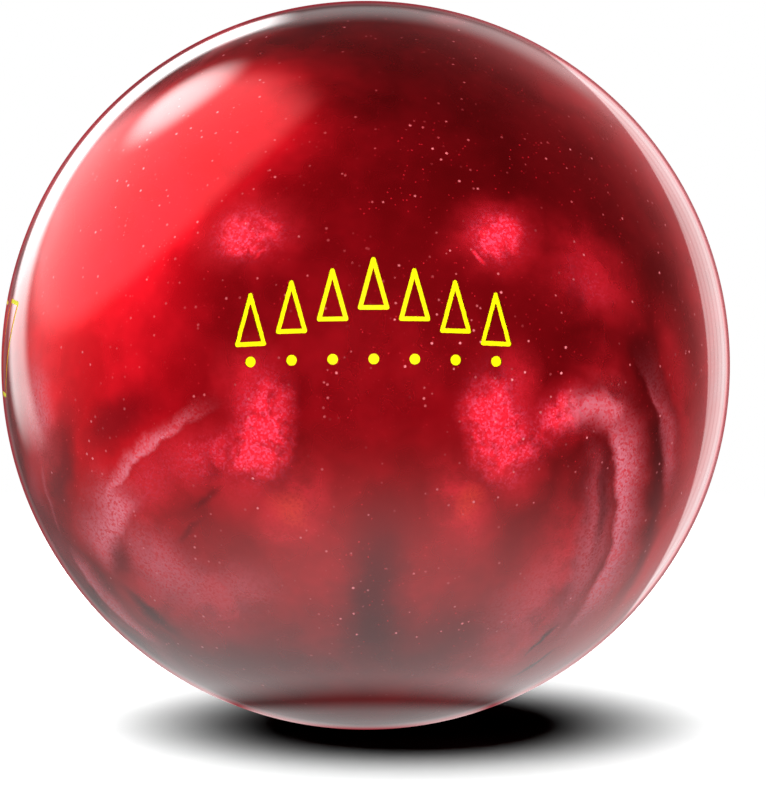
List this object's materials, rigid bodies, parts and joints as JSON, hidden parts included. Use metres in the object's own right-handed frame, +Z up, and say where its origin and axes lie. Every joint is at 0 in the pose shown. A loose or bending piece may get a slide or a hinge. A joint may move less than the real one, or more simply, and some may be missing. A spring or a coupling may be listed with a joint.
{
  "type": "bowling ball",
  "caption": "Undrilled bowling ball: glossy red pearl resin cover round a filler core and dense weight block, with engraved, paint-filled yellow marks.",
  "frame": {"origin": "centre of the ball", "axes": "+Z up, the front emblem faces -Y and stands 14 degrees above the equator, +X to the right as seen from the front"},
  "size_m": [0.218, 0.218, 0.218],
  "materials": {
    "pearl_resin": "polished red pearl with fine mica flake",
    "core_filler": "cast, fine air bubbles",
    "weight_resin": "cast, matt",
    "mineral_resin": "cast, mineral filled",
    "dowel_wood": "turned, bare",
    "pin_resin": "polished",
    "mark_paint": "gloss enamel",
    "dot_paint": "gloss enamel"
  },
  "bodies": {
    "root": {"coverstock": "pearl_resin", "outer_core": "core_filler", "weight_block": "weight_resin", "flip_block": "mineral_resin", "core_dowel": "dowel_wood", "pin_plug": "pin_resin", "front_emblem_paint": "mark_paint", "side_stripes_paint": "mark_paint", "gravity_dot_paint": "dot_paint"}
  },
  "joints": []
}
